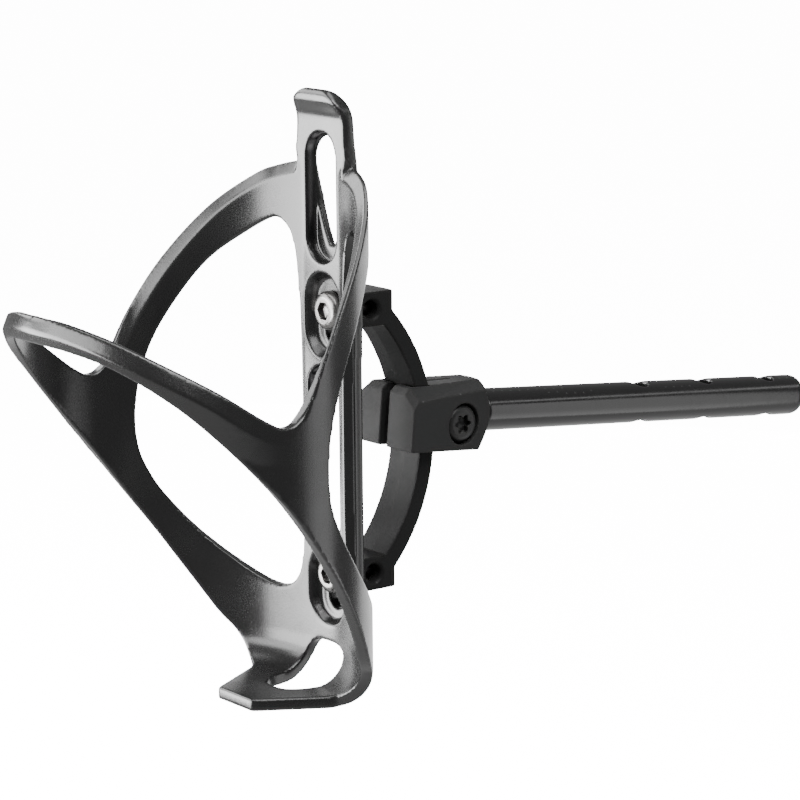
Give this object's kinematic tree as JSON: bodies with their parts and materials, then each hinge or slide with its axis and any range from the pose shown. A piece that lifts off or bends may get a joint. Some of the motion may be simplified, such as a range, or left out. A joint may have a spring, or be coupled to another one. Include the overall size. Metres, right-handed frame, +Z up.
{
  "type": "water bottle cage",
  "caption": "Hoop-and-arm bottle cage bolted to an arc bracket that tilts in a pinch clamp at the end of a cross-drilled support rod",
  "frame": {"origin": "centre of the support rod's free end, where a holder grips the rod", "axes": "+Z up along the bottle, +Y from the bottle towards the rod's free end, +X to the side"},
  "size_m": [0.0844, 0.2342, 0.1439],
  "materials": {
    "cage_moulding": "gloss black moulding with a very fine speckle",
    "stainless_bolt": "stainless steel, bright",
    "bracket_black": "satin black",
    "clamp_black": "satin black",
    "bolt_black": "black steel",
    "rod_gloss": "gloss black"
  },
  "bodies": {
    "holder": {"support_rod": "rod_gloss", "clamp_block": "clamp_black", "clamp_bolt": "bolt_black"},
    "cradle": {"arc_bracket": "bracket_black", "cage_body": "cage_moulding", "cage_bolt_upper": "stainless_bolt", "cage_bolt_lower": "stainless_bolt"}
  },
  "joints": [
    {"name": "tilt", "type": "hinge", "parent": "holder", "child": "cradle", "pos_m": [0, -0.1722, 0.00733], "axis": [1, 0, 0], "range_deg": [-25, 36]}
  ]
}
